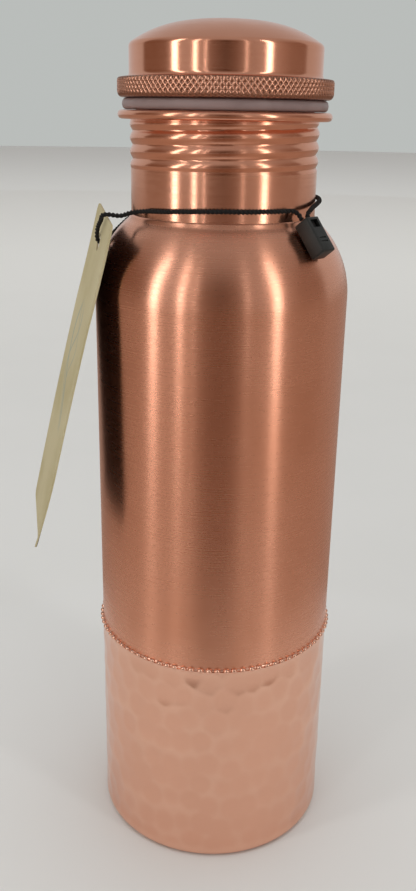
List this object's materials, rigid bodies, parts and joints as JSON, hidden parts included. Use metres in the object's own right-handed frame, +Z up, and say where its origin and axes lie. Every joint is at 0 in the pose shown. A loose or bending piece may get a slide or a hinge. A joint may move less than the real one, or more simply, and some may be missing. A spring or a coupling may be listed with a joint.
{
  "type": "copper water bottle",
  "caption": "Tall round copper water bottle with a threaded neck, a screw cap on a soft gasket, a hammered lower cup and a card tag tied round the neck.",
  "frame": {"origin": "centre of the base, on the surface the foot ring stands on", "axes": "+Z up along the bottle's axis, towards the cap; +X to the right and -Y to the front as the bottle is seen with its tag on the left"},
  "size_m": [0.1005, 0.0762, 0.2539],
  "materials": {
    "brushed_copper": "brushed copper, satin, with fine lines round the body",
    "polished_copper": "polished copper",
    "hammered_copper": "hammered copper, satin",
    "seam_copper": "beaded copper wire",
    "cap_copper": "polished copper",
    "knurled_copper": "knurled copper",
    "plug_copper": "plain copper",
    "plug_floor_copper": "plain copper",
    "gasket_silicone": "translucent silicone, matte",
    "tag_card": "uncoated card with a printed ornament",
    "lock_plastic": "black moulded plastic",
    "lock_plug_plastic": "black moulded plastic",
    "cord_black": "twisted black thread"
  },
  "bodies": {
    "bottle": {"upper_body_shell": "brushed_copper", "bottle_neck": "polished_copper", "lower_cup": "hammered_copper", "seam_bead_ring": "seam_copper"},
    "gasket": {"cap_gasket": "gasket_silicone"},
    "cap": {"cap_dome": "cap_copper", "cap_grip_ring": "knurled_copper", "cap_thread_plug": "plug_copper", "cap_plug_floor": "plug_floor_copper"},
    "tag_loop": {"tag_cord": "cord_black", "tag_lock_body": "lock_plastic", "tag_lock_plug": "lock_plug_plastic"},
    "tag": {"hang_tag": "tag_card"}
  },
  "joints": [
    {"name": "cap_lift", "type": "slide", "parent": "bottle", "child": "gasket", "axis": [0, 0, 1], "range_m": [0, 0.026]},
    {"name": "cap_turn", "type": "hinge", "parent": "gasket", "child": "cap", "pos_m": [0, 0, 0.2309], "axis": [0, 0, 1], "range_deg": [0, 2520]},
    {"name": "loop_turn", "type": "hinge", "parent": "bottle", "child": "tag_loop", "pos_m": [0, 0, 0.2055], "axis": [0, 0, 1], "continuous": true},
    {"name": "tag_swing", "type": "hinge", "parent": "tag_loop", "child": "tag", "pos_m": [-0.0358, -0.00408, 0.1942], "axis": [-0.2284, 0.9736, 0], "range_deg": [0, 33]}
  ],
  "couplings": [
    {"joint": "cap_lift", "follows": "cap_turn", "m_per_rad": 0.00058887}
  ]
}
